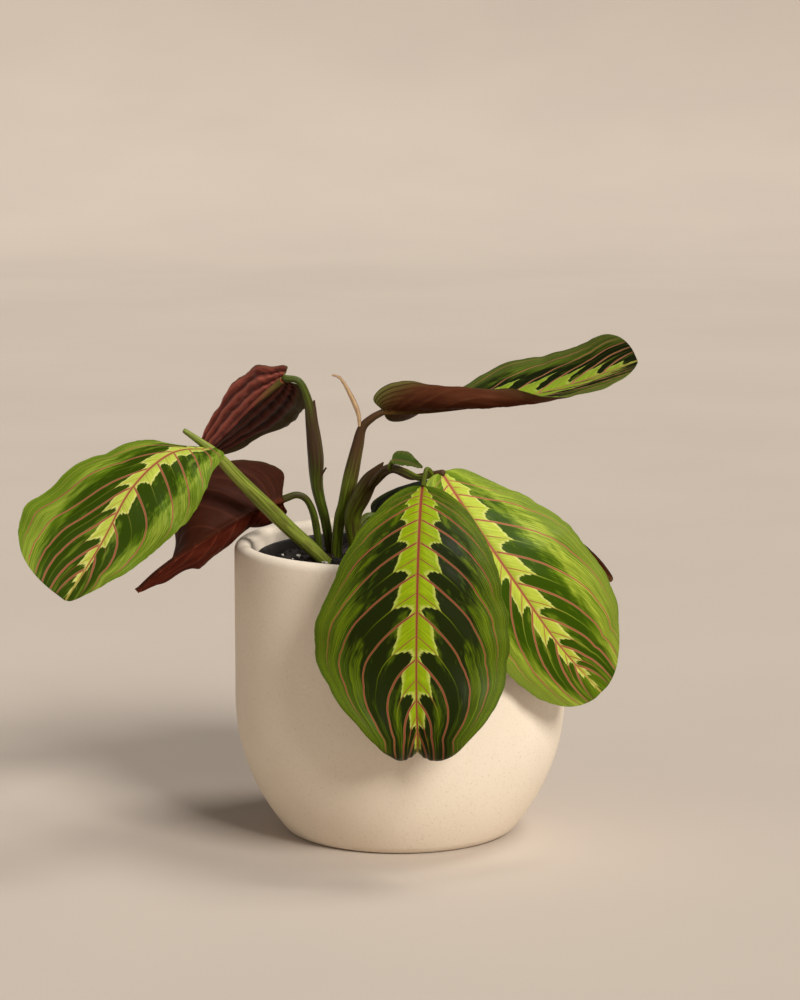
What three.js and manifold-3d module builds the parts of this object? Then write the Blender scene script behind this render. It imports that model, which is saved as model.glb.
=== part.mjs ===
// Potted prayer plant: a stoneware cachepot, a plastic nursery pot with soil, six shoots and eight leaves.
// Units are millimetres, +Z is up, and -Y is the front.
// The origin is the middle of the cachepot's flat base.

import * as THREE from 'three';
import * as BufferGeometryUtils from 'three/addons/utils/BufferGeometryUtils.js';
import Module from 'manifold-3d';

const wasm = await Module();
wasm.setup();

// Driving dimensions
const POT_HEIGHT = 124;
const POT_RADIUS = 70;
const POT_FOOT_RADIUS = 48;
const POT_SHOULDER_Z = 59;
const POT_WALL = 7;
const POT_FLOOR = 7;
const BELLY_POWER = 2.24;
const LINER_RIM_Z = 118.5;
const LINER_RIM_RADIUS = 60.5;
const LINER_LIP = 1.9;
const LINER_LIP_HEIGHT = 5.5;
const LINER_FOOT_RADIUS = 41;
const LINER_WALL = 1.7;
const DRAIN_HOLE_RADIUS = 4;
const DRAIN_HOLE_CIRCLE = 26;
const DRAIN_HOLES = 6;
const SOIL_TOP_Z = 113.5;
const SEAT_GAP = 0.3;
const HOLE_GAP = 0.6;
const LEAF_SEAT_CUT = 0.6;
const BLADE_THICKNESS = 0.7;
const STALK_SIDES = 7;

// Materials
const stoneware = new THREE.MeshStandardMaterial({ color: 0xcbb79c, roughness: 0.8, metalness: 0 });
const blackPlastic = new THREE.MeshStandardMaterial({ color: 0x17171a, roughness: 0.5, metalness: 0 });
const pottingSoil = new THREE.MeshStandardMaterial({ color: 0x1d1611, roughness: 1, metalness: 0 });
const leafGreen = new THREE.MeshStandardMaterial({ color: 0x5c8a25, roughness: 0.55, metalness: 0 });
const stalkGreen = new THREE.MeshStandardMaterial({ color: 0x6b7d32, roughness: 0.6, metalness: 0 });
const driedTan = new THREE.MeshStandardMaterial({ color: 0xb9936a, roughness: 0.9, metalness: 0 });

// Smooth curve through evenly spaced numbers, mirrored at both ends
function spline(values, t) {
  const last = values.length - 1;
  const x = Math.min(Math.max(t, 0), 1) * last;
  const i = Math.min(Math.floor(x), last - 1);
  const f = x - i;
  const b = values[i];
  const c = values[i + 1];
  const a = i > 0 ? values[i - 1] : 2 * b - c;
  const d = i + 2 <= last ? values[i + 2] : 2 * c - b;
  const square = (2 * a - 5 * b + 4 * c - d) * f * f;
  const cube = (3 * b - a - 3 * c + d) * f * f * f;
  return 0.5 * (2 * b + (c - a) * f + square + cube);
}

function pathPoint(path, t) {
  const axis = (k) => spline(path.map((p) => p[k]), t);
  return new THREE.Vector3(axis(0), axis(1), axis(2));
}

// A closed manifold from a three.js geometry, with its faces pointing out
function solid(geometry) {
  const bare = geometry.clone();
  bare.deleteAttribute('normal');
  bare.deleteAttribute('uv');
  const welded = BufferGeometryUtils.mergeVertices(bare, 1e-4);
  const vertices = welded.attributes.position.array;
  const index = welded.index.array;
  const triangles = [];
  let volume = 0;
  const corner = [new THREE.Vector3(), new THREE.Vector3(), new THREE.Vector3()];
  for (let i = 0; i < index.length; i += 3) {
    const [a, b, c] = [index[i], index[i + 1], index[i + 2]];
    if (a === b || b === c || c === a) continue;
    triangles.push(a, b, c);
    corner.forEach((v, k) => v.fromArray(vertices, 3 * index[i + k]));
    volume += corner[0].dot(corner[1].clone().cross(corner[2]));
  }
  if (volume < 0) triangles.reverse();
  return new wasm.Manifold(new wasm.Mesh({
    numProp: 3,
    vertProperties: Float32Array.from(vertices),
    triVerts: Uint32Array.from(triangles),
  }));
}

// The largest body of a cut solid
function mainBody(manifold) {
  const bodies = manifold.decompose();
  bodies.sort((a, b) => b.volume() - a.volume());
  return bodies[0];
}

// A named mesh from a solid
function piece(name, manifold, material) {
  const result = manifold.getMesh();
  const geometry = new THREE.BufferGeometry();
  geometry.setAttribute('position', new THREE.BufferAttribute(Float32Array.from(result.vertProperties), 3));
  geometry.setIndex(Array.from(result.triVerts));
  const mesh = new THREE.Mesh(geometry, material);
  mesh.name = name;
  return mesh;
}

// A body turned about the vertical axis from a profile of [radius, height]
function turned(profile, segments) {
  const points = profile.map(([r, z]) => new THREE.Vector2(r, z));
  const geometry = new THREE.LatheGeometry(points, segments);
  geometry.rotateX(Math.PI / 2);
  return geometry;
}

// Outer radius of the cachepot: a rounded belly below a straight upper wall
function potRadius(z) {
  if (z >= POT_SHOULDER_Z) return POT_RADIUS;
  return POT_FOOT_RADIUS + (POT_RADIUS - POT_FOOT_RADIUS) * (1 - (1 - z / POT_SHOULDER_Z) ** BELLY_POWER);
}

function cachepot() {
  const profile = [[0, 0], [POT_FOOT_RADIUS - 1.5, 0]];
  for (const z of [1.5, 6, 13, 22, 36, POT_SHOULDER_Z]) profile.push([potRadius(z), z]);
  const crest = POT_RADIUS - POT_WALL / 2;
  const lip = POT_WALL / 2;
  for (const turn of [0, 45, 90, 135, 180]) {
    const a = THREE.MathUtils.degToRad(turn);
    profile.push([crest + lip * Math.cos(a), POT_HEIGHT - lip + lip * Math.sin(a)]);
  }
  for (const z of [POT_SHOULDER_Z, 36, 18]) profile.push([potRadius(z) - POT_WALL, z]);
  profile.push([potRadius(POT_FLOOR) - POT_WALL - 4, POT_FLOOR], [0, POT_FLOOR]);
  return solid(turned(profile, 44));
}

// The nursery pot stands on the cachepot's floor
const linerBase = POT_FLOOR + SEAT_GAP;
const linerLipBase = LINER_RIM_Z - LINER_LIP_HEIGHT;
const linerTopRadius = LINER_RIM_RADIUS - LINER_LIP;

function nurseryPot() {
  let body = solid(turned([
    [0, linerBase],
    [LINER_FOOT_RADIUS, linerBase],
    [linerTopRadius, linerLipBase],
    [LINER_RIM_RADIUS, linerLipBase + 0.4],
    [LINER_RIM_RADIUS, LINER_RIM_Z - 0.5],
    [LINER_RIM_RADIUS - 0.5, LINER_RIM_Z],
    [linerTopRadius, LINER_RIM_Z],
    [linerTopRadius - LINER_WALL, linerLipBase],
    [LINER_FOOT_RADIUS - LINER_WALL, linerBase + LINER_WALL],
    [0, linerBase + LINER_WALL],
  ], 32));
  for (let i = 0; i < DRAIN_HOLES; i += 1) {
    const hole = new THREE.CylinderGeometry(DRAIN_HOLE_RADIUS, DRAIN_HOLE_RADIUS, 4 * LINER_WALL, 8);
    const a = (2 * Math.PI * i) / DRAIN_HOLES;
    hole.rotateX(Math.PI / 2);
    hole.translate(DRAIN_HOLE_CIRCLE * Math.cos(a), DRAIN_HOLE_CIRCLE * Math.sin(a), linerBase);
    body = body.subtract(solid(hole));
  }
  return body;
}

// Soil and root ball in one body, with a low uneven top
function soil() {
  const bottom = linerBase + LINER_WALL + SEAT_GAP;
  const taper = (linerTopRadius - LINER_FOOT_RADIUS) / (linerLipBase - linerBase);
  const side = (z) => LINER_FOOT_RADIUS - LINER_WALL + taper * (z - linerBase - LINER_WALL) - SEAT_GAP - 0.2;
  const profile = [[0, bottom], [side(bottom), bottom], [side(linerLipBase - 1), linerLipBase - 1.5]];
  for (const r of [54, 38, 20, 0]) profile.push([r, SOIL_TOP_Z]);
  const geometry = turned(profile, 28);
  const position = geometry.attributes.position;
  for (let i = 0; i < position.count; i += 1) {
    const [x, y, z] = [position.getX(i), position.getY(i), position.getZ(i)];
    if (z < SOIL_TOP_Z - 0.1) continue;
    const bumps = Math.sin(x * 0.31 + 1.3) * Math.cos(y * 0.27) + Math.sin(x * 0.13 - y * 0.17);
    position.setZ(i, z + 0.5 * bumps);
  }
  return solid(geometry);
}

// A closed tube along a path, with a radius for each path point
function stalk(path, radii, { grow = 0, sides = STALK_SIDES, rings = 3 * (path.length - 1) } = {}) {
  const centres = [];
  for (let i = 0; i <= rings; i += 1) centres.push(pathPoint(path, i / rings));
  const vertices = [];
  const faces = [];
  let across = new THREE.Vector3(1, 0, 0);
  centres.forEach((centre, i) => {
    const before = centres[Math.max(i - 1, 0)];
    const after = centres[Math.min(i + 1, rings)];
    const along = after.clone().sub(before).normalize();
    across = across.clone().addScaledVector(along, -across.dot(along)).normalize();
    const up = along.clone().cross(across);
    const radius = Math.max(spline(radii, i / rings), 0.25) + grow;
    for (let k = 0; k < sides; k += 1) {
      const a = (2 * Math.PI * k) / sides;
      const p = centre.clone().addScaledVector(across, radius * Math.cos(a)).addScaledVector(up, radius * Math.sin(a));
      vertices.push(p.x, p.y, p.z);
    }
  });
  for (let i = 0; i < rings; i += 1) {
    for (let k = 0; k < sides; k += 1) {
      const a = i * sides + k;
      const b = i * sides + ((k + 1) % sides);
      faces.push(a, b, b + sides, a, b + sides, a + sides);
    }
  }
  for (let k = 1; k < sides - 1; k += 1) {
    const end = rings * sides;
    faces.push(0, k + 1, k, end, end + k, end + k + 1);
  }
  const geometry = new THREE.BufferGeometry();
  geometry.setAttribute('position', new THREE.BufferAttribute(Float32Array.from(vertices), 3));
  geometry.setIndex(faces);
  return solid(geometry);
}

// The frame carried along a midrib: place, direction, upper face and side direction
function midribOf({ path, face, roll = [0, 0] }) {
  const count = 200;
  const samples = [];
  for (let i = 0; i < count; i += 1) samples.push({ place: pathPoint(path, i / (count - 1)), distance: 0 });
  samples.forEach((s, i) => {
    const before = samples[Math.max(i - 1, 0)];
    const after = samples[Math.min(i + 1, count - 1)];
    s.along = after.place.clone().sub(before.place).normalize();
    if (i > 0) s.distance = before.distance + s.place.distanceTo(before.place);
  });
  const length = samples[count - 1].distance;
  let normal = new THREE.Vector3(...face);
  for (const s of samples) {
    normal = normal.clone().addScaledVector(s.along, -normal.dot(s.along)).normalize();
    const turn = THREE.MathUtils.degToRad(spline(roll, s.distance / length));
    s.face = normal.clone().applyAxisAngle(s.along, turn);
  }
  const at = (distance) => {
    const x = Math.min(Math.max(distance, 0), length);
    let i = samples.findIndex((s) => s.distance > x);
    if (i < 1) i = count - 1;
    const f = (x - samples[i - 1].distance) / (samples[i].distance - samples[i - 1].distance);
    const along = samples[i - 1].along.clone().lerp(samples[i].along, f).normalize();
    const up = samples[i - 1].face.clone().lerp(samples[i].face, f);
    up.addScaledVector(along, -up.dot(along)).normalize();
    const place = samples[i - 1].place.clone().lerp(samples[i].place, f);
    place.addScaledVector(along, distance - x);
    return { place, along, up, side: along.clone().cross(up) };
  };
  return { length, at };
}

// A point of a leaf's middle surface.
// m runs from base to tip and v from midrib to margin. Side 0 lies opposite to the side direction.
// half gives the half width, margin what is added to it along the whole edge,
// lobe how far the base lobes reach back, fold the angle of a half,
// bow its even bend, and curl the bend of the outer part that starts at the share edge.
function leafPoint(leaf, midrib, m, v, s, grow) {
  const pick = (value, t) => {
    const own = Array.isArray(value) && value.length === 2 && Array.isArray(value[0]) ? value[s] : value;
    return Array.isArray(own) ? spline(own, t) : own;
  };
  const { length } = midrib;
  const lobeAt = 0.06;
  const width = 2 * Math.sqrt(m * (1 - m)) * pick(leaf.half, m) + pick(leaf.margin ?? [1.2, 0.3], m) + grow;
  const back = leaf.lobe[s] * (m / lobeAt) * Math.exp(1 - m / lobeAt);
  const distance = length * m - back * v + (m < 0.5 ? -grow : grow) * (m === 0 || m === 1 ? 1 : 0);
  const t = Math.min(Math.max(distance / length, 0), 1);
  const frame = midrib.at(distance);
  const fold = THREE.MathUtils.degToRad(pick(leaf.fold, t));
  const bow = pick(leaf.bow ?? 0, t) + 1e-5;
  const curl = pick(leaf.curl ?? 0, t) + 1e-5;
  const edge = Math.min(Math.max(pick(leaf.edge ?? 1, t), 0), 1);
  const inner = Math.min(width * v, edge * width);
  const outer = width * v - inner;
  const bent = fold + bow * inner;
  const rolled = bent + curl * outer;
  let out = (Math.sin(bent) - Math.sin(fold)) / bow + (Math.sin(rolled) - Math.sin(bent)) / curl;
  let up = (Math.cos(fold) - Math.cos(bent)) / bow + (Math.cos(bent) - Math.cos(rolled)) / curl;
  const [waves, height] = leaf.wave ?? [0, 0];
  const lift = height * v * v * Math.sin(2 * Math.PI * waves * m + 2 * s) * Math.min(1, 5 * m, 5 * (1 - m));
  out -= lift * Math.sin(rolled);
  up += lift * Math.cos(rolled);
  return frame.place.addScaledVector(frame.side, s === 0 ? -out : out).addScaledVector(frame.up, up);
}

// A leaf blade: the middle surface thickened to both faces, split into triangles alike on both
function blade(leaf, { grow = 0, rows = leaf.rows ?? 20, columns = leaf.columns ?? 4 } = {}) {
  const midrib = midribOf(leaf);
  const across = 2 * columns;
  const surface = [];
  for (let i = 0; i <= rows; i += 1) {
    const a = (Math.PI * i) / rows;
    const m = 0.3 * (1 - Math.cos(a)) + (0.4 * a) / Math.PI;
    for (let j = 0; j <= across; j += 1) {
      const v = Math.abs(j - columns) / columns;
      surface.push(leafPoint(leaf, midrib, i === rows ? 1 : m, v, j < columns ? 0 : 1, grow));
    }
  }
  const at = (i, j) => surface[Math.min(Math.max(i, 0), rows) * (across + 1) + Math.min(Math.max(j, 0), across)];
  const half = (leaf.thickness ?? BLADE_THICKNESS) / 2 + grow;
  const vertices = [];
  for (const sign of [1, -1]) {
    for (let i = 0; i <= rows; i += 1) {
      for (let j = 0; j <= across; j += 1) {
        const long = at(i + 1, j).clone().sub(at(i - 1, j));
        const wide = at(i, j + 1).clone().sub(at(i, j - 1));
        const normal = long.cross(wide).normalize();
        const p = at(i, j).clone().addScaledVector(normal, sign * half);
        vertices.push(p.x, p.y, p.z);
      }
    }
  }
  const stride = across + 1;
  const under = (rows + 1) * stride;
  const faces = [];
  for (let i = 0; i < rows; i += 1) {
    for (let j = 0; j < across; j += 1) {
      const a = i * stride + j;
      const [b, c, d] = [a + 1, a + stride + 1, a + stride];
      const quad = j < columns ? [a, b, d, b, c, d] : [a, b, c, a, c, d];
      faces.push(...quad, ...quad.map((k) => k + under).reverse());
    }
  }
  const wall = (a, b) => faces.push(b, a, a + under, b, a + under, b + under);
  for (let j = 0; j < across; j += 1) {
    wall(j, j + 1);
    wall(rows * stride + j + 1, rows * stride + j);
  }
  for (let i = 0; i < rows; i += 1) {
    wall((i + 1) * stride, i * stride);
    wall(i * stride + across, (i + 1) * stride + across);
  }
  const geometry = new THREE.BufferGeometry();
  geometry.setAttribute('position', new THREE.BufferAttribute(Float32Array.from(vertices), 3));
  geometry.setIndex(faces);
  return solid(geometry);
}

// The leaves: midrib path, direction that the upper face looks in, and form
const leaves = {
  leaf_front: {
    path: [[9, -66, 157], [8, -79, 148.5], [7, -88, 126.5], [6.5, -92, 99], [6.5, -93, 75], [7, -91, 58.5],
      [7, -84, 51.5], [7, -77, 54]],
    face: [0, -0.5, 0.85],
    half: [[22, 32, 35, 37.5, 33, 4], [19, 30, 37, 42, 29, 8]],
    lobe: [2, 2],
    fold: [-5, -5, -5, -5, -5, -5, 8, 27, 32],
    bow: -0.006,
    edge: [1, 1, 1, 1, 0.85, 0.6],
    curl: [0, 0, 0, 0, -0.12, -0.25],
    wave: [4, 0.7],
    rows: 24,
  },
  leaf_right: {
    path: [[17, -50, 160], [29, -62, 143], [46.5, -66, 117.5], [65, -58, 90], [83, -44, 67.5]],
    face: [0.2, -0.6, 0.8],
    roll: [0, 20, 25],
    half: [[22, 31, 33, 35, 33], [18, 24, 25, 26, 30]],
    lobe: [3, 3],
    fold: 0,
    bow: -0.004,
    wave: [3, 0.8],
  },
  leaf_left: {
    path: [[-77, -30, 167.5], [-93, -46, 167.5], [-108, -58, 155], [-120, -66, 133.5], [-134, -72, 111.5]],
    face: [0, -0.1, 1],
    roll: [0, -20, -38, -50],
    half: [[17, 26, 25, 18, 9], [9, 20, 28, 41, 55]],
    lobe: [3, 2],
    fold: -5,
    bow: [[-0.014, -0.014], [-0.006, -0.006]],
    wave: [4, 0.9],
  },
  leaf_upper_left: {
    path: [[-49.5, 8, 191], [-62, 22, 179], [-76, 44, 163], [-89.5, 66, 148]],
    face: [0, 1, 0],
    half: [[8, 20, 22.5, 23, 21], [24, 26, 24, 17, 10]],
    lobe: [7, 4],
    fold: [[58, 52, 50, 50], [30, 40, 45]],
    bow: 0.01,
    wave: [3, 0.8],
  },
  leaf_low_left: {
    path: [[-49.5, 3, 140.5], [-63, -8, 137], [-84.5, -20, 125.5], [-100, -23, 115], [-109.5, -25, 106.5]],
    face: [0, 1, 0.1],
    half: [[24, 27, 26, 18, 10], [22, 21, 19, 17, 13]],
    lobe: [8, 8],
    fold: [[10, 20, 30, 48, 95, 114, 112], [25, 20, 15, 15, 25, 38, 42]],
    bow: [[0.004, 0.004], [0.04, 0.065, 0.06, 0.045, 0.03, 0.015, 0.01]],
    wave: [4, 0.7],
  },
  leaf_upper_right: {
    path: [[-7, 0, 178.5], [16.5, -3, 180], [46, -6, 184.5], [71.5, -9, 191.5], [98.5, -12, 201.5]],
    face: [0, 0, 1],
    half: [[23, 30, 33, 31, 30, 38], [16, 30, 27, 30, 33]],
    lobe: [2, 8],
    fold: [[-35, -2, 13, 23, 25, 34, 56], [35, 12, 2, -3, -6, -10, -14]],
    edge: [[1, 1], [0, 0.25, 0.42, 0.6, 0.75, 0.7, 0.5]],
    curl: [[0, 0], [0.1, 0.19, 0.23, 0.27, 0.12, 0, 0]],
    columns: 6,
  },
  leaf_back_right: {
    path: [[-12, 30, 129.5], [20, 34, 134], [50, 37, 133], [75, 40, 118], [93, 42, 99]],
    face: [0, -0.1, 1],
    roll: [0, -5, -15, -40],
    half: [[15, 18, 19, 19, 20], [18, 18, 15, 9, 7]],
    lobe: [3, 3],
    fold: [[45, 35, 0, -8, -8], [-4, -4]],
    bow: -0.006,
    wave: [3, 0.5],
  },
  leaf_young: {
    path: [[-3.4, -38, 163.4], [0.6, -38.5, 163], [5, -39, 162], [9.2, -40, 160.6]],
    face: [0, -0.6, 0.5],
    half: [[4.5, 4, 3.6, 1.8, 1], [2.5, 2, 1.5, 1.2, 1]],
    lobe: [0, 0],
    fold: [[15, 15], [20, 20]],
    bow: [[-0.03, -0.03], [0.01, 0.01]],
    rows: 8,
    columns: 3,
  },
};

// The dried bract that stands up from the middle stem's node
const bract = {
  path: [[-17, -0.7, 172.4], [-17.6, -0.3, 178], [-20.8, 1, 185.5], [-25, 2.5, 192.3], [-28.7, 4, 193.7]],
  face: [0, -1, 0.1],
  half: [0.5, 0.75, 0.7, 0.45, 0.3],
  margin: [0.5, 0.3],
  lobe: [0, 0],
  fold: -30,
  thickness: 0.6,
  rows: 8,
  columns: 2,
};

// The shoots: tubes that are fused in one body, with the leaves and bracts that they carry
const shoots = {
  stalk_left: {
    tubes: [
      [[[-23.5, 4, 96], [-25.5, 2.5, 107.5], [-50.5, -10, 134.5], [-66.5, -22, 153], [-75.5, -28, 164],
        [-81.5, -28, 169], [-88.5, -28, 174]], [2.3, 2.5, 3.2, 2.7, 2.2, 1.6, 1.1]],
    ],
    carries: [leaves.leaf_left],
  },
  stem_back_left: {
    tubes: [
      [[[-29, 17.5, 96], [-29.5, 17, 113], [-32, 15.5, 130], [-35.3, 13.5, 144.5], [-35.8, 12, 158],
        [-37.2, 10.7, 171], [-39, 9.2, 182.5], [-42.5, 8, 190.3], [-47.4, 7.6, 191.8]],
      [2, 2, 2.1, 2.6, 3.4, 2.8, 1.8, 1.5, 1.5]],
      [[[-36, 12, 158], [-36.5, 11, 168], [-36.7, 10, 176], [-36.3, 9.5, 182]], [2.8, 2.4, 1.6, 0.4]],
      [[[-36, 12, 149], [-33.5, 11.5, 150], [-31.5, 11, 153]], [1, 0.5, 0.4]],
    ],
    carries: [leaves.leaf_upper_left],
  },
  stalk_low_left: {
    tubes: [
      [[[-34.5, 10, 96], [-34, 9.5, 112], [-36, 8, 130.5], [-39, 6, 139.5], [-43.5, 4, 142.5], [-48.3, 3.2, 141.2]],
        [1.6, 1.6, 1.6, 1.5, 1.5, 1.6]],
    ],
    carries: [leaves.leaf_low_left],
  },
  stem_middle: {
    tubes: [
      [[[-26.8, 11, 96], [-27.3, 10.8, 112], [-25.8, 9, 130.5], [-23.5, 7.5, 138], [-21.1, 5, 149],
        [-18, 3, 163], [-15.9, 1.4, 171.5], [-11.6, 0.5, 175.9], [-7.8, 0, 178.4]],
      [2.3, 2.3, 2.4, 2.9, 3.2, 2.6, 1.9, 1.6, 1.4]],
    ],
    carries: [leaves.leaf_upper_right, bract],
  },
  shoot_front: {
    tubes: [
      [[[-15.5, 6, 96], [-17, 5, 112], [-20, 2, 132], [-16, -3, 143.5], [-12.5, -9, 151], [-9, -15, 156.5],
        [-7, -18, 159.5]], [2.8, 3, 3.6, 4, 3.3, 1.6, 0.3]],
      [[[-16, -2, 141.5], [-11, -14, 151.5], [-5.1, -27, 158.7], [1.9, -41, 159.1], [7.9, -54, 158.3],
        [12.5, -61, 161], [10.6, -65.5, 163.5], [9.6, -66.6, 158.2]], [1.3, 1.3, 1.4, 1.4, 1.2, 1, 0.9, 0.9]],
      [[[-15.5, -1, 142], [-10, -13, 150.5], [-3.5, -28, 157.8], [4.7, -40, 156.7], [12.8, -48, 158.9],
        [17.5, -50.5, 159.8]], [1.4, 1.3, 1.3, 1.3, 1.3, 1.4]],
      [[[-4, -36, 159.5], [-4.2, -37.5, 161], [-3.6, -38, 162.6]], [1, 0.9, 0.9]],
    ],
    carries: [leaves.leaf_front, leaves.leaf_right, leaves.leaf_young],
  },
  stalk_back_right: {
    tubes: [
      [[[-22, 19, 96], [-21.5, 19.5, 112], [-19, 24, 124], [-15, 28.5, 129], [-11, 30, 129.5]],
        [1.6, 1.6, 1.6, 1.5, 1.5]],
    ],
    carries: [leaves.leaf_back_right],
  },
};

// Fuses a shoot's tubes and clears the leaf bases that it carries
function shoot({ tubes, carries }) {
  let body = tubes.map(([path, radii]) => stalk(path, radii)).reduce((sum, tube) => sum.add(tube));
  for (const leaf of carries) body = body.subtract(blade(leaf, { grow: LEAF_SEAT_CUT }));
  return mainBody(body);
}

// Soil with a plain hole for each shoot's foot
function soilWithHoles() {
  let body = soil();
  for (const { tubes } of Object.values(shoots)) {
    const [path, radii] = tubes[0];
    const foot = new THREE.Vector3(...path[0]);
    const next = new THREE.Vector3(...path[1]);
    foot.addScaledVector(next.sub(foot).normalize(), -1);
    const deeper = [foot.toArray(), ...path];
    body = body.subtract(stalk(deeper, [radii[0], ...radii], { grow: HOLE_GAP, sides: 8 }));
  }
  return mainBody(body);
}

const plant = new THREE.Group();
plant.add(piece('cachepot', cachepot(), stoneware));
plant.add(piece('nursery_pot', nurseryPot(), blackPlastic));
plant.add(piece('soil', soilWithHoles(), pottingSoil));
for (const [name, parts] of Object.entries(shoots)) plant.add(piece(name, shoot(parts), stalkGreen));
plant.add(piece('bract_dry', blade(bract), driedTan));
for (const [name, leaf] of Object.entries(leaves)) plant.add(piece(name, blade(leaf), leafGreen));

export default plant;
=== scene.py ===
import math

import bmesh
import bpy
import numpy as np
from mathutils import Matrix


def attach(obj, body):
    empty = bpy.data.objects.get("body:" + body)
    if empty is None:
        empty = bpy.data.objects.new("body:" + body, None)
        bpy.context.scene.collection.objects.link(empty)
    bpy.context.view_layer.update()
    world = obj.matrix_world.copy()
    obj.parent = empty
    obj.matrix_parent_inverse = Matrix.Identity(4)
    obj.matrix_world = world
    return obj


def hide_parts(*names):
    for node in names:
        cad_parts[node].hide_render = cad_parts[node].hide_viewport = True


# The looks of a potted prayer plant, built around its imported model.
# Shapes are worked out in millimetres, as in the part's source, and made in metres.

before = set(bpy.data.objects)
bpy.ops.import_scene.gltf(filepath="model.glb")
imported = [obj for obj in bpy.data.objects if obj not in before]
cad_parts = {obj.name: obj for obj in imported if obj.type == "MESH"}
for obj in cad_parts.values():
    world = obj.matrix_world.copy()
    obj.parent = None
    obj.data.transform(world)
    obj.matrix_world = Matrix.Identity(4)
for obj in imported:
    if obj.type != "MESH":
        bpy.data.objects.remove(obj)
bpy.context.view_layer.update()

MM = 0.001

# The pots and the soil, as in the part's source
POT_HEIGHT = 124
POT_RADIUS = 70
POT_FOOT_RADIUS = 48
POT_SHOULDER_Z = 59
POT_WALL = 7
POT_FLOOR = 7
BELLY_POWER = 2.24
LINER_RIM_Z = 118.5
LINER_RIM_RADIUS = 60.5
LINER_LIP = 1.9
LINER_LIP_HEIGHT = 5.5
LINER_FOOT_RADIUS = 41
LINER_WALL = 1.7
DRAIN_HOLE_RADIUS = 4
DRAIN_HOLE_CIRCLE = 26
DRAIN_HOLES = 6
POT_SEGMENTS = 160
LINER_SEGMENTS = 112
PIN_SEGMENTS = 32
SOIL_TOP_Z = 113.5
SEAT_GAP = 0.3

# The blades, with lengths in millimetres
BLADE_THICKNESS = 0.3
BLADE_ROWS = 150
SMALL_ROWS = 40
BLADE_COLUMNS = 32
LOBE_AT = 0.06
EDGE_WAVER = 0.012
EDGE_RIPPLE = 0.35
SCALLOPS = 9
SCALLOP_SHARPNESS = 6
FIELD_HEIGHT = 0.35
FIELD_FROM = (0.03, 0.2)
FIELD_TO = (0.7, 0.97)
GROOVE_DEPTH = 0.5
GROOVE_WIDTH = 1.2
RIB_HEIGHT = 0.9
RIB_TAPER = 0.6
RIB_WIDTH = 0.9
SIDE_RIB_HEIGHT = 0.14
SIDE_RIB_WIDTH = 0.5
# Past this share of the midrib the pattern runs out over the margin
PATTERN_LATE = 0.84

# The stalks
TUBE_SIDES = 16
TUBE_RINGS_PER_SPAN = 9
TUBE_SMALLEST_RADIUS = 0.25
TUBE_SWELL = 0.05

# Side veins by the place on the midrib where they start: how far out they get, and how slowly they bend
VEIN_PLACES = (-1.0, -0.1, 0.0, 0.06, 0.15, 0.226, 0.32, 0.445, 0.6, 0.73, 0.87, 1.0)
VEIN_REACH = (3.0, 1.2, 1.03, 0.98, 0.94, 0.91, 0.88, 0.8, 0.66, 0.5, 0.34, 0.2)
VEIN_BEND = (0.05, 0.05, 0.05, 0.06, 0.08, 0.11, 0.14, 0.175, 0.17, 0.14, 0.1, 0.08)
VEIN_STARTS = (0.02, 0.05, 0.09, 0.15, 0.224, 0.324, 0.445, 0.595, 0.725, 0.83, 0.91, 0.97)

# The camera stands where the photograph was taken
CAMERA_PLACE = (0, -1.3, 0.342)
CAMERA_PITCH = 8.79
CAMERA_LENS = 112.2
CAMERA_SENSOR = 36


# Numbers and curves

def spline(values, t):
    """A smooth curve through evenly spaced numbers or points, mirrored at both ends."""
    t = np.asarray(t, float)
    p = np.asarray(values, float)
    if p.ndim == 0:
        return np.full(t.shape, float(p))
    p = np.concatenate([[2 * p[0] - p[1]], p, [2 * p[-1] - p[-2]]])
    last = len(p) - 3
    x = np.clip(t, 0, 1) * last
    i = np.minimum(x.astype(int), last - 1)
    f = x - i
    if p.ndim > 1:
        f = f[..., None]
    a, b, c, d = p[i], p[i + 1], p[i + 2], p[i + 3]
    square = (2 * a - 5 * b + 4 * c - d) * f ** 2
    cube = (3 * b - a - 3 * c + d) * f ** 3
    return 0.5 * (2 * b + (c - a) * f + square + cube)


def unit(v):
    return v / np.maximum(np.linalg.norm(v, axis=-1, keepdims=True), 1e-12)


def smooth_step(x, low, high):
    t = np.clip((x - low) / (high - low), 0, 1)
    return t * t * (3 - 2 * t)


def lattice(i, j, k, seed):
    """An even random number for each lattice point."""
    h = np.sin(i * 127.1 + j * 311.7 + k * 74.7 + seed * 19.19) * 43758.5453
    return h - np.floor(h)


def noise(p, seed=0):
    """Smooth noise between -1 and 1 at points in space."""
    base = np.floor(p)
    f = p - base
    f = f * f * (3 - 2 * f)
    total = 0
    for corner in np.ndindex(2, 2, 2):
        c = np.array(corner)
        weight = np.prod(np.where(c, f, 1 - f), axis=-1)
        q = base + c
        total = total + weight * lattice(q[..., 0], q[..., 1], q[..., 2], seed)
    return 2 * total - 1


def rough(p, size, octaves=3, seed=0):
    """Noise of several sizes, the largest first."""
    return sum(noise(p * 2 ** k / size, seed + k) / 2 ** k for k in range(octaves))


# Materials

def tone(red, green, blue):
    """A colour read from 0 to 255, as linear light."""
    def linear(c):
        c = c / 255
        return c / 12.92 if c <= 0.04045 else ((c + 0.055) / 1.055) ** 2.4
    return linear(red), linear(green), linear(blue), 1.0


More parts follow.
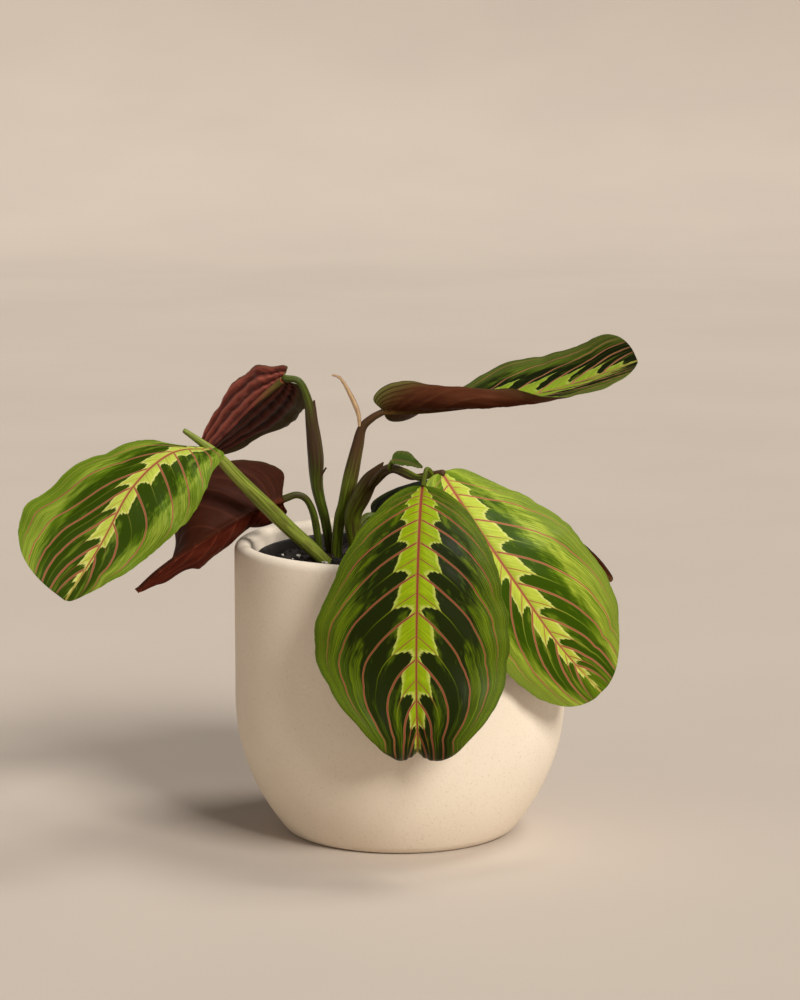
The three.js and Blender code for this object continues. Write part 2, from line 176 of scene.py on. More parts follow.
class Finish:
    """A node material with one Principled shader, put together from short expressions."""

    def __init__(self, name, roughness=0.5, specular=0.5):
        self.material = bpy.data.materials.new(name)
        self.material.use_nodes = True
        self.tree = self.material.node_tree
        self.tree.nodes.clear()
        self.shader = self.tree.nodes.new("ShaderNodeBsdfPrincipled")
        output = self.tree.nodes.new("ShaderNodeOutputMaterial")
        self.tree.links.new(self.shader.outputs["BSDF"], output.inputs["Surface"])
        self.shader.inputs["Roughness"].default_value = roughness
        self.shader.inputs["Specular IOR Level"].default_value = specular

    def put(self, socket, value):
        if isinstance(value, bpy.types.NodeSocket):
            self.tree.links.new(value, socket)
        else:
            socket.default_value = value

    def node(self, kind, output, inputs, **settings):
        """One output of a new node, with its inputs by name or number."""
        made = self.tree.nodes.new(kind)
        for key, value in settings.items():
            setattr(made, key, value)
        for key, value in inputs.items():
            self.put(made.inputs[key], value)
        return made.outputs[output]

    def attribute(self, name):
        return self.node("ShaderNodeAttribute", "Fac", {}, attribute_type="GEOMETRY", attribute_name=name)

    def math(self, operation, *values):
        return self.node("ShaderNodeMath", 0, dict(enumerate(values)), operation=operation)

    def times(self, first, *others):
        for other in others:
            first = self.math("MULTIPLY", first, other)
        return first

    def less(self, a, b):
        return self.math("SUBTRACT", a, b)

    def scaled(self, a, factor, base):
        """The base plus a times the factor."""
        return self.math("MULTIPLY_ADD", a, factor, base)

    def sway(self, grey, factor, base):
        """The base, moved up and down by a noise."""
        return self.scaled(self.less(grey, 0.5), factor, base)

    def from_whole(self, value):
        """How far a value is from the nearest whole number."""
        return self.math("PINGPONG", value, 0.5)

    def fall(self, value, low, high):
        return self.step(value, low, high, 1.0, 0.0)

    def step(self, value, low, high, from_value=0.0, to_value=1.0):
        """A smooth change between two limits, which may be sockets."""
        inputs = {"Value": value, "From Min": low, "From Max": high, "To Min": from_value, "To Max": to_value}
        return self.node("ShaderNodeMapRange", "Result", inputs, interpolation_type="SMOOTHSTEP")

    def mix(self, share, a, b):
        return self.node("ShaderNodeMix", 2, {0: share, 6: a, 7: b}, data_type="RGBA")

    def curve(self, value, stops):
        """A grey value from a list of places and heights."""
        ramp = self.tree.nodes.new("ShaderNodeValToRGB")
        elements = ramp.color_ramp.elements
        while len(elements) < len(stops):
            elements.new(0.5)
        for element, (place, height) in zip(elements, stops):
            element.position = place
        for element, (place, height) in zip(elements, stops):
            element.color = (height, height, height, 1)
        self.put(ramp.inputs["Fac"], value)
        return ramp.outputs["Color"]

    def vector(self, x, y, z):
        return self.node("ShaderNodeCombineXYZ", 0, {0: x, 1: y, 2: z})

    def noise(self, place, scale, detail=3.0, roughness=0.55):
        inputs = {"Vector": place, "Scale": scale, "Detail": detail, "Roughness": roughness}
        return self.node("ShaderNodeTexNoise", "Fac", inputs)

    def place(self):
        return self.node("ShaderNodeTexCoord", "Object", {})

    def bump(self, height, distance, strength):
        inputs = {"Height": height, "Distance": distance, "Strength": strength}
        self.put(self.shader.inputs["Normal"], self.node("ShaderNodeBump", "Normal", inputs))

    def colour(self, value):
        self.put(self.shader.inputs["Base Color"], value)

    def gloss(self, value):
        self.put(self.shader.inputs["Roughness"], value)


# The teeth of the light centre, from one side vein to the next: how much of its width is left
FEATHER_TEETH = [
    (0.0, 0.5), (0.05, 0.66), (0.2, 0.74), (0.25, 0.72), (0.36, 0.88), (0.4, 0.86), (0.5, 1.0), (0.52, 0.82),
    (0.58, 0.72), (0.6, 0.52), (0.67, 0.46), (0.69, 0.32), (0.8, 0.22), (0.88, 0.16), (0.96, 0.3), (1.0, 0.5)]
# From base to tip: the light centre's share of the half blade, and how deep its notches are
FEATHER_WIDTH = [
    (0.0, 0.25), (0.05, 0.4), (0.15, 0.35), (0.2, 0.33), (0.28, 0.3), (0.38, 0.275), (0.5, 0.25),
    (0.63, 0.22), (0.75, 0.16), (0.84, 0.09), (0.94, 0.05), (1.0, 0.0)]
FEATHER_DEPTH = [(0.0, 0.15), (0.15, 0.4), (0.22, 0.6), (0.38, 0.9), (0.5, 1.0), (1.0, 1.05)]

LEAF_GLOSS = 0.06
LEAF_LAYERS = ("vein_phase", "across", "vein_start", "vein_gap", "from_midrib", "edge", "half", "pleat")
PATTERN_LAYERS = LEAF_LAYERS[:6]

# Where lines show, by the gap between two side veins in millimetres
VEIN_GAP_SHOWN = (1.4, 4.6)
THIN_GAP_SHOWN = (2.6, 5.0)
# Half breadths in millimetres: of a side vein at the midrib, its change to the margin, and of the midrib at
# the base and the tip
VEIN_BREADTH = 0.47
VEIN_TAPER = -0.26
MIDRIB_BREADTH = (0.95, 0.4)
# Parts of the half breadth over which a line and its pale border fade
VEIN_LINE = (0.5, 0.85)
MIDRIB_LINE = (0.4, 0.8)
PALE_BORDER = (0.8, 1.5)
# Shares of the midrib where the blotches, the side veins and the midrib end
BLOTCHES_END = (0.78, 0.92)
VEINS_END = (0.85, 0.88)
MIDRIB_END = (0.8, 0.95)
# How far soft and fine noise move the blotches' ends and the light centre's edge
BLOTCH_CLOUD = 0.55
BLOTCH_JAG = 0.4
FEATHER_CLOUD = 0.06
FEATHER_JAG = 0.05
FEATHER_BLUR = 0.009
# The near-black of the painted shade on the undersides
DARKEST = (0.01, 0.004, 0.002, 1)


def vein_lines(f, phase, gap, inner, outer):
    """A line on each side vein, which fades where the veins crowd together."""
    line = f.fall(f.times(f.from_whole(phase), gap), inner, outer)
    return f.times(line, f.step(gap, *VEIN_GAP_SHOWN))


def leaf_noises(f, phase, across, start, hair_pitch, cloud_scale):
    """Fine, hairy and soft noise that is drawn out along the side veins."""
    fine = f.noise(f.vector(f.times(phase, 9.0), f.times(across, 1.6), start), 3.0, 4.0)
    hair = f.noise(f.vector(f.times(phase, hair_pitch), f.times(across, 2.0), 0.0), 1.0, 2.0)
    cloud = f.noise(f.vector(phase, f.times(across, 5.0), start), cloud_scale, 3.0)
    return fine, hair, cloud


def leaf_upper(name, tones, spread=1.0, fade=0.62, patches=0.6, streaks=0.5, bare=0.1, glow=0.0,
               thread_veins=0.9, tip_dark=1.0):
    """The upper face: light centre, dark blotches between the side veins, and a plainer margin.
    tones: light centre, its rim, blotches, green ground, margin and veins. spread: width of the light centre.
    bare, fade: where the blotches start and end. patches, tip_dark: how far they clear up in places, and what
    is left at the tip. glow: the light past them. streaks, thread_veins: how strong these lines are."""
    f = Finish(name, specular=LEAF_GLOSS)
    feather, fringe, blotch, body, margin, vein = [tone(*values) for values in tones]
    phase, across, start, gap, rib, edge = [f.attribute(layer) for layer in PATTERN_LAYERS]
    share = f.math("FRACT", phase)
    fine, hair, cloud = leaf_noises(f, phase, across, start, 30.0, 1.6)
    thread = f.noise(f.vector(f.times(phase, 24.0), f.times(across, 1.3), 7.0), 1.3, 1.5)
    mist = f.noise(f.vector(f.times(phase, 1.4), f.times(across, 3.4), 5.0), 1.5, 3.0)

    # Green from the middle to the margin, with streaks that run along the side veins
    ground = f.mix(f.step(edge, 0.5, 0.98), body, margin)
    ground = f.mix(f.times(f.step(mist, 0.45, 0.75), 0.45), ground, f.mix(0.5, body, feather))
    ground = f.mix(f.times(f.fall(hair, 0.3, 0.62), 0.4), ground, blotch)
    light_streaks = f.times(f.step(thread, 0.57, 0.66), f.step(across, 0.3, 0.62), streaks)
    ground = f.mix(light_streaks, ground, feather)

    # Dark blotches, which fade outwards into jagged light and leave greener patches
    limit = f.sway(fine, BLOTCH_JAG, f.sway(cloud, BLOTCH_CLOUD, fade))
    past = f.less(across, limit)
    shine = f.times(f.step(past, -0.02, 0.06), f.fall(past, 0.08, 0.26), f.step(fine, 0.36, 0.6), glow)
    ground = f.mix(shine, ground, feather)
    dark = f.times(f.fall(past, -0.14, 0.08), f.step(start, bare - 0.06, bare + 0.06),
                   f.step(start, *BLOTCHES_END, 1.0, tip_dark), f.step(mist, 0.5, 0.66, 1.0, 1 - patches))
    skin = f.mix(dark, ground, blotch)

    # The light centre with its teeth
    notch = f.times(f.less(1.0, f.curve(share, FEATHER_TEETH)), f.curve(start, FEATHER_DEPTH))
    width = f.times(f.curve(start, FEATHER_WIDTH), spread, f.less(1.0, notch))
    wobble = f.sway(cloud, FEATHER_CLOUD, f.sway(fine, FEATHER_JAG, across))
    light = f.fall(wobble, f.less(width, FEATHER_BLUR), f.math("ADD", width, FEATHER_BLUR))
    light_tone = f.mix(f.step(fine, 0.35, 0.7), f.mix(0.35, feather, body), feather)
    light_tone = f.mix(f.times(f.fall(f.less(width, wobble), 0.0, 0.05), 0.6), light_tone, fringe)
    skin = f.mix(light, skin, light_tone)

    # Side veins, thinner outwards, each with a pale border
    breadth = f.scaled(across, VEIN_TAPER, VEIN_BREADTH)
    shown = f.times(f.step(start, 0.0, 0.02), f.fall(start, *VEINS_END), f.step(edge, 0.8, 0.97, 1.0, 0.15))
    border = vein_lines(f, phase, gap, *[f.times(breadth, part) for part in PALE_BORDER])
    line = vein_lines(f, phase, gap, *[f.times(breadth, part) for part in VEIN_LINE])
    skin = f.mix(f.times(border, shown, 0.5), skin, f.mix(0.35, vein, fringe))
    skin = f.mix(f.times(line, shown), skin, vein)

    # Thin veins that end in the teeth and run on faintly
    thin = f.fall(f.times(f.less(0.5, f.from_whole(phase)), gap), 0.12, 0.3)
    thin = f.times(thin, f.step(gap, *THIN_GAP_SHOWN), shown, f.step(across, 0.1, 0.55, thread_veins, 0.05))
    skin = f.mix(thin, skin, f.mix(f.step(across, 0.1, 0.35), vein, f.mix(0.5, body, feather)))

    # Midrib
    reach = f.step(start, 0.0, 1.0, *MIDRIB_BREADTH)
    border = f.step(rib, *[f.times(reach, part) for part in PALE_BORDER], 0.6, 0.0)
    skin = f.mix(border, skin, f.mix(0.45, feather, vein))
    midrib = f.fall(rib, *[f.times(reach, part) for part in MIDRIB_LINE])
    skin = f.mix(f.times(midrib, f.step(start, *MIDRIB_END, 1.0, 0.3)), skin, vein)
    f.colour(skin)
    f.gloss(f.step(cloud, 0.3, 0.7, 0.36, 0.52))
    f.bump(f.scaled(fine, 0.6, f.times(hair, 0.3)), 0.00025, 0.5)
    return f.material


def leaf_under(name, tones, band=0.75, bands=0.8, rib_reach=2.0, edge_from=0.8, edge_lean=0.0, base=None,
               dim=(0.0, 0.0), shade=DARKEST, crests=0.0):
    """The lower face, lighter along the veins, with its own tones at the margin and the base.
    tones: the face, its ridges, the midrib and the margin. band, bands: breadth and strength of the veins.
    rib_reach: how far the midrib's tone runs. edge_from, edge_lean: where the margin's tone starts, and how
    much sooner on the second half. base: tones of a striped base. dim: how much painted shade lies on each
    half.
    shade: the tone of that painted shade. crests: how strong the painted light on the pleats' crests and the
    painted shade in their valleys are."""
    f = Finish(name, roughness=0.55, specular=LEAF_GLOSS)
    deep, ridge, rib_tone, edge_tone = [tone(*values) for values in tones]
    phase, across, start, gap, rib, edge, half, pleat = [f.attribute(layer) for layer in LEAF_LAYERS]
    fine, hair, cloud = leaf_noises(f, phase, across, start, 34.0, 1.3)
    skin = f.mix(f.step(cloud, 0.35, 0.75), deep, f.mix(0.4, deep, ridge))
    skin = f.mix(f.times(f.step(hair, 0.5, 0.75), 0.4), skin, ridge)
    line = f.times(vein_lines(f, phase, gap, 0.2, band), bands, f.step(across, 0.6, 0.95, 1.0, 0.3))
    skin = f.mix(line, skin, ridge)

    # Painted light on the pleats' crests, painted shade in their valleys, and painted shade over one half
    crest = f.from_whole(pleat)
    skin = f.mix(f.times(f.fall(crest, 0.0, 0.32), crests), skin, ridge)
    skin = f.mix(f.times(f.step(crest, 0.3, 0.48), crests), skin, shade)
    skin = f.mix(f.step(half, 0.4, 0.6, *dim), skin, shade)

    # Margin, base and midrib
    worn = f.sway(fine, 0.3, f.scaled(half, edge_lean, edge))
    skin = f.mix(f.step(worn, edge_from, edge_from + 0.2), skin, edge_tone)
    if base:
        striped = f.mix(f.fall(crest, 0.02, 0.26), *[tone(*values) for values in base])
        skin = f.mix(f.fall(start, -0.12, 0.06), skin, striped)
    skin = f.mix(f.times(f.fall(rib, 0.8, 1.9), f.fall(start, 0.0, rib_reach)), skin, rib_tone)
    f.colour(skin)
    f.bump(f.scaled(fine, 0.7, f.times(hair, 0.4)), 0.0003, 0.6)
    return f.material


def stalk_finish(name, green, dark, brown, share=0.5):
    """A stalk with streaks along it, browner with age and in patches."""
    f = Finish(name, specular=0.2)
    along, x, y = [f.attribute(layer) for layer in ("along", "around_x", "around_y")]
    streak = f.noise(f.vector(f.times(x, 2.2), f.times(y, 2.2), f.times(along, 0.03)), 1.6, 4.0)
    patch = f.noise(f.vector(x, y, f.times(along, 0.11)), 0.9, 4.0)
    skin = f.mix(f.step(streak, 0.38, 0.64), tone(*green), tone(*dark))
    skin = f.mix(f.times(f.step(patch, 0.48, 0.68), share), skin, tone(*brown))
    worn = f.sway(streak, 0.9, f.attribute("age"))
    skin = f.mix(f.step(worn, 0.2, 0.75), skin, tone(*brown))
    f.colour(skin)
    f.gloss(f.step(streak, 0.3, 0.7, 0.36, 0.55))
    f.bump(streak, 0.0005, 0.6)
    return f.material


def stoneware():
    f = Finish("matte_stoneware")
    place = f.place()
    cloud = f.noise(place, 14.0, 4.0)
    grain = f.noise(place, 900.0, 2.0)
    cells = f.node("ShaderNodeTexVoronoi", "Distance", {"Vector": place, "Scale": 420.0})
    speck = f.fall(cells, 0.1, 0.2)
    skin = f.mix(f.step(cloud, 0.3, 0.7), tone(226, 211, 189), tone(233, 219, 199))
    skin = f.mix(f.times(f.step(grain, 0.55, 0.75), 0.35), skin, tone(206, 188, 163))
    skin = f.mix(f.times(speck, f.step(cloud, 0.45, 0.6, 0.0, 0.3)), skin, tone(176, 152, 124))
    f.colour(skin)
    f.gloss(f.step(grain, 0.3, 0.7, 0.72, 0.88))
    f.bump(f.scaled(cloud, 2.0, grain), 0.0003, 0.35)
    return f.material


def plastic():
    f = Finish("black_moulded_plastic")
    place = f.place()
    dust = f.noise(place, 60.0, 5.0)
    f.colour(f.mix(f.step(dust, 0.5, 0.8), tone(20, 16, 13), tone(44, 36, 29)))
    f.gloss(f.step(dust, 0.4, 0.7, 0.35, 0.7))
    f.bump(f.noise(place, 700.0, 2.0), 0.0001, 0.3)
    return f.material


def grains(name, light, deep, scale):
    """A dull granular surface, for the soil and what lies in it."""
    f = Finish(name, roughness=0.95)
    grain = f.noise(f.place(), scale, 5.0, 0.7)
    f.colour(f.mix(f.step(grain, 0.35, 0.68), tone(*deep), tone(*light)))
    f.bump(grain, 0.0008, 0.9)
    return f.material


def dried():
    """Dry paper-like tissue with lengthwise fibres and a browner edge."""
    f = Finish("dried_papery_bract", roughness=0.85)
    across = f.attribute("across")
    fibre = f.noise(f.vector(f.times(across, 14.0), f.times(f.attribute("vein_phase"), 0.6), 0.0), 1.4, 3.0)
    skin = f.mix(f.step(fibre, 0.3, 0.7), tone(150, 112, 76), tone(205, 172, 130))
    skin = f.mix(f.step(across, 0.72, 1.0), skin, tone(96, 60, 38))
    f.colour(skin)
    f.bump(fibre, 0.0003, 0.7)
    return f.material


# Pieces

def add_piece(name, vertices, faces, materials, slot=None, node=None, face_material=None, attributes=None,
              sharp=50):
    """An object from millimetres that rides on the part and may stand for one of its nodes."""
    mesh = bpy.data.meshes.new(name)
    mesh.from_pydata((np.asarray(vertices) * MM).tolist(), [], [list(map(int, face)) for face in faces])
    for material in materials:
        mesh.materials.append(material)
    if face_material is not None:
        mesh.polygons.foreach_set("material_index", np.asarray(face_material, np.int32))
    for key, values in (attributes or {}).items():
        layer = mesh.attributes.new(key, "FLOAT", "POINT")
        layer.data.foreach_set("value", np.asarray(values, np.float32))
    mesh.polygons.foreach_set("use_smooth", np.ones(len(mesh.polygons), bool))
    mesh.set_sharp_from_angle(angle=math.radians(sharp))
    mesh.validate()
    piece = bpy.data.objects.new(name, mesh)
    bpy.context.scene.collection.objects.link(piece)
    if slot:
        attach(piece, "root")
    if node:
        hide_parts(node)
    return piece


def joined(parts):
    """Several (vertices, faces) as one."""
    vertices, faces, count = [], [], 0
    for points, loops in parts:
        vertices.append(points)
        faces.extend([[count + i for i in loop] for loop in loops])
        count += len(points)
    return np.concatenate(vertices), faces


def turned(profile, segments):
    """A closed body turned about the vertical axis from points of radius and height."""
    profile = np.asarray(profile, float)
    a = 2 * np.pi * np.arange(segments) / segments
    vertices, index = [], []
    for radius, z in profile:
        if radius < 1e-6:
            index.append([len(vertices)] * segments)
            vertices.append((0, 0, z))
        else:
            index.append(list(range(len(vertices), len(vertices) + segments)))
            vertices.extend(zip(radius * np.cos(a), radius * np.sin(a), np.full(segments, z)))
    faces = []
    for i in range(len(profile) - 1):
        for k in range(segments):
            n = (k + 1) % segments
            loop = [index[i][k], index[i][n], index[i + 1][n], index[i + 1][k]]
            face = [v for place, v in enumerate(loop) if v != loop[place - 1]]
            if len(face) > 2:
                faces.append(face)
    return np.array(vertices), faces


def tube(path, radii, seed):
    """A closed round tube with rounded ends, and its streak coordinates."""
    sides = TUBE_SIDES
    t = np.linspace(0, 1, TUBE_RINGS_PER_SPAN * (len(path) - 1) + 1)
    centre = spline(path, t)
    radius = np.maximum(spline(radii, t), TUBE_SMALLEST_RADIUS)
    along = unit(np.gradient(centre, axis=0))
    distance = np.concatenate([[0], np.cumsum(np.linalg.norm(np.diff(centre, axis=0), axis=1))])
    ends = np.array([0.55, 0.9])
    tip = centre[-1] + along[-1] * radius[-1] * np.array([0.45, 0.75])[:, None]
    foot = centre[0] - along[0] * radius[0] * np.array([0.75, 0.45])[:, None]
    centre = np.concatenate([foot, centre, tip])
    along = np.concatenate([[along[0]] * 2, along, [along[-1]] * 2])
    distance = np.concatenate([[0, 0], distance, [distance[-1]] * 2])
    radius = np.concatenate([radius[0] * ends, radius, radius[-1] * ends[::-1]])
    across = np.array([1.0, 0, 0])
    vertices = []
    a = 2 * np.pi * np.arange(sides) / sides
    for c, d, r, s in zip(centre, along, radius, distance):
        across = unit(across - d * (across @ d))
        up = np.cross(d, across)
        around = np.stack([np.cos(a) * 1.5, np.sin(a) * 1.5, np.full(sides, s * 0.12)], -1)
        swell = 1 + TUBE_SWELL * noise(around, seed)
        ring = c + (r * swell)[:, None] * (across * np.cos(a)[:, None] + up * np.sin(a)[:, None])
        vertices.append(ring)
    count = len(centre)
    faces = [list(range(sides))[::-1], [(count - 1) * sides + k for k in range(sides)]]
    for i in range(count - 1):
        for k in range(sides):
            n = (k + 1) % sides
            faces.append([i * sides + k, i * sides + n, (i + 1) * sides + n, (i + 1) * sides + k])
    return (np.concatenate(vertices), faces), {
        "along": np.repeat(distance, sides),
        "around_x": np.tile(np.cos(a), count), "around_y": np.tile(np.sin(a), count)}


# Leaves

class Midrib:
    """The frame carried along a midrib: place, direction and the way the upper face looks."""

    def __init__(self, path, face, roll):
        t = np.linspace(0, 1, 400)
        self.places = spline(path, t)
        steps = np.linalg.norm(np.diff(self.places, axis=0), axis=1)
        self.distances = np.concatenate([[0], np.cumsum(steps)])
        self.length = self.distances[-1]
        self.alongs = unit(np.gradient(self.places, axis=0))
        normal = np.array(face, float)
        normals = []
        for along in self.alongs:
            normal = unit(normal - along * (normal @ along))
            normals.append(normal)
        normals = np.array(normals)
        turn = np.radians(spline(roll, self.distances / self.length))[:, None]
        self.faces = normals * np.cos(turn) + np.cross(self.alongs, normals) * np.sin(turn)

    def at(self, distance):
        def pick(values):
            return np.stack([np.interp(distance, self.distances, values[:, k]) for k in range(3)], -1)
        along = unit(pick(self.alongs))
        face = pick(self.faces)
        face = unit(face - along * np.sum(face * along, -1, keepdims=True))
        beyond = distance - np.clip(distance, 0, self.length)
        place = pick(self.places) + along * beyond[..., None]
        return place, face, np.cross(along, face)


def side_value(value, side, t):
    """A leaf's value at t, where a pair of lists gives each side its own."""
    if isinstance(value, (list, tuple)) and len(value) == 2 and isinstance(value[0], (list, tuple)):
        value = value[side]
    return spline(value, t)


def noise_along(m, pitch, seed):
    """Noise that changes along the midrib only."""
    return noise(np.stack([m * pitch, m * 0, m * 0], -1), seed)


def blade_surface(leaf, midrib, m, v, side):
    """Points of a blade's middle surface, as in the part's source, with a finer margin."""
    margin = side_value(leaf.get("margin", (1.2, 0.3)), side, m)
    width = 2 * np.sqrt(m * (1 - m)) * side_value(leaf["half"], side, m) + margin
    seed = 10 * leaf["seed"] + side
    ends = np.clip(8 * np.minimum(m, 1 - m), 0, 1)
    width *= 1 + EDGE_WAVER * ends * noise_along(m, 13, seed)
    width -= leaf.get("nibbles", 0.25) * ends * np.maximum(noise_along(m, 60, seed), 0)
    scallops = np.abs(np.sin(np.pi * (SCALLOPS * m + 0.4 * side))) ** SCALLOP_SHARPNESS
    width -= leaf.get("scallop", 0.3) * ends * scallops
    for place, depth, breadth in leaf.get("notches", ((), ()))[side]:
        width -= depth * np.exp(-((m - place) / breadth) ** 2)
    back = leaf["lobe"][side] * (m / LOBE_AT) * np.exp(1 - m / LOBE_AT)
    distance = midrib.length * m - back * v
    t = np.clip(distance / midrib.length, 0, 1)
    place, face, across = midrib.at(distance)

    def value(key, usual=0):
        return side_value(leaf.get(key, usual), side, t)

    fold = np.radians(value("fold"))
    bow = value("bow") + 1e-5
    curl = value("curl") + 1e-5
    edge = np.clip(value("edge", 1), 0, 1)
    inner = np.minimum(width * v, edge * width)
    outer = width * v - inner
    bent = fold + bow * inner
    rolled = bent + curl * outer
    out = (np.sin(bent) - np.sin(fold)) / bow + (np.sin(rolled) - np.sin(bent)) / curl
    up = (np.cos(fold) - np.cos(bent)) / bow + (np.cos(bent) - np.cos(rolled)) / curl
    waves, height = leaf.get("wave", (0, 0))
    calm_ends = np.clip(np.minimum(5 * m, 5 * (1 - m)), 0, 1)
    lift = height * v * v * np.sin(2 * np.pi * waves * m + 2 * side) * calm_ends
    ripple = EDGE_RIPPLE * v ** 3 * ends * noise_along(m, 22, seed + 5)
    out -= (lift + ripple) * np.sin(rolled)
    up += (lift + ripple) * np.cos(rolled)
    sign = 1 if side else -1
    return place + across * (sign * out)[..., None] + face * up[..., None], width * v


def pattern_share(leaf, m, v, side):
    """The share of the way to the margin that the pattern goes by."""
    def width(t):
        return 2 * np.sqrt(t * (1 - t)) * side_value(leaf["half"], side, t) + 0.3
    calm = width(np.full(m.shape, PATTERN_LATE)) * (1 - 0.55 * smooth_step(m, PATTERN_LATE, 1.15))
    return v * np.where(m > PATTERN_LATE, width(m) / np.maximum(width(m), calm), 1)


def vein_start(m, v, sweep, reach):
    """Where the side vein through a point leaves the midrib.
    A side vein bends towards the tip: sweep stretches it lengthwise and reach is how far out it gets."""
    low = np.full(m.shape, -1.0)
    high = m + 1e-4
    for _ in range(32):
        middle = (low + high) / 2
        most = np.interp(middle, VEIN_PLACES, VEIN_REACH) * reach
        length = np.interp(middle, VEIN_PLACES, VEIN_BEND) * sweep
        out = most * (1 - np.exp(-(m - middle) / length))
        low = np.where(out > v, middle, low)
        high = np.where(out > v, high, middle)
    return (low + high) / 2


def vein_phase(start, starts):
    """A number that is whole on each side vein."""
    before = (start - starts[0]) / (starts[1] - starts[0])
    return np.where(start < starts[0], before, np.interp(start, starts, np.arange(len(starts))))


def blade(name, node, leaf, upper, under, rows=BLADE_ROWS, columns=BLADE_COLUMNS, slot="leaf"):
    """A thin closed blade with raised fields between the veins and a rib underneath."""
    midrib = Midrib(leaf["path"], leaf["face"], leaf.get("roll", (0, 0)))
    quilt = leaf.get("quilt", FIELD_HEIGHT)
    a = np.linspace(0, np.pi, rows + 1)
    m = 0.3 * (1 - np.cos(a)) + 0.4 * a / np.pi
    v = (np.arange(columns + 1) / columns) ** 1.2
    sides = []
    for side, shares in ((0, v[::-1]), (1, v[1:])):
        mm, vv = np.meshgrid(np.clip(m, 0, 1), shares, indexing="ij")
        points, from_midrib = blade_surface(leaf, midrib, mm, vv, side)
        share = pattern_share(leaf, mm, vv, side)
        sweep, reach = [leaf.get(key, (1, 1))[side] for key in ("sweep", "reach")]
        start = vein_start(mm, share, sweep, reach)
        starts = leaf.get("veins", (VEIN_STARTS, VEIN_STARTS))[side]
        count, slant = leaf.get("pleats", ((0, 0), (0, 0)))[side]
        pleat = count * vv ** 0.9 + slant * mm
        phase = vein_phase(start, starts)
        sides.append((points, from_midrib, mm, vv, share, start, phase, mm * 0 + side, pleat))
    points, from_midrib, mm, vv, share, start, phase, half, pleat = [
        np.concatenate(pair, axis=1) for pair in zip(*sides)]
    long, wide = np.gradient(points, axis=(0, 1))
    normal = unit(np.cross(wide, long))
    e = np.sum(long * long, -1)
    g = np.sum(wide * wide, -1)
    c = np.sum(long * wide, -1)
    rise_long, rise_wide = np.gradient(phase, axis=(0, 1))
    steepness = g * rise_long ** 2 - 2 * c * rise_long * rise_wide + e * rise_wide ** 2
    steepness = np.sqrt(np.maximum(steepness, 1e-9) / np.maximum(e * g - c * c, 1e-9))
    gap = np.clip(1 / np.maximum(steepness, 1e-6), 0.2, 60)

    # Fields between the veins stand proud, the midrib lies in a groove
    field = np.sin(np.pi * phase) ** 2
    inside = smooth_step(vv, *FIELD_FROM)
    window = inside * (1 - smooth_step(vv, *FIELD_TO)) * smooth_step(start, -0.08, 0.05)
    groove = GROOVE_DEPTH * np.exp(-(from_midrib / GROOVE_WIDTH) ** 2) * (quilt > 0)
    relief = quilt * (field - 0.5) * window - groove
    if "pleats" in leaf:
        pleats = np.cos(2 * np.pi * pleat) * inside * np.sin(np.pi * mm) ** 0.5
        relief -= leaf["pleat_height"] * pleats
    rib = (quilt > 0) * (RIB_HEIGHT - RIB_TAPER * mm) * np.exp(-(from_midrib / RIB_WIDTH) ** 2)
    from_vein = (phase - np.round(phase)) * gap
    rib += (quilt > 0) * SIDE_RIB_HEIGHT * np.exp(-(from_vein / SIDE_RIB_WIDTH) ** 2) * window
    top = points + normal * (BLADE_THICKNESS / 2 + relief)[..., None]
    bottom = points + normal * (relief - BLADE_THICKNESS / 2 - rib)[..., None]
    vertices = np.concatenate([top.reshape(-1, 3), bottom.reshape(-1, 3)])
    stride = 2 * columns + 1
    total = (rows + 1) * stride
    faces, kinds = [], []
    for i in range(rows):
        for j in range(2 * columns):
            a0 = i * stride + j
            face = [a0, a0 + 1, a0 + stride + 1, a0 + stride]
            faces += [face, [k + total for k in face[::-1]]]
            kinds += [0, 1]
    rim = list(range(0, total, stride))
    rim += range(rows * stride + 1, total)
    rim += range(total - stride - 1, 0, -stride)
    rim += range(stride - 2, 0, -1)
    for one, two in zip(rim, rim[1:] + rim[:1]):
        faces.append([one, two, two + total, one + total])
        kinds.append(0)
    doubled = dict(zip(LEAF_LAYERS, (phase, share, start, gap, from_midrib, vv, half, pleat)))
    doubled = {key: np.tile(value.reshape(-1), 2) for key, value in doubled.items()}
    add_piece(name, vertices, faces, [upper, under], slot, node, kinds, doubled)


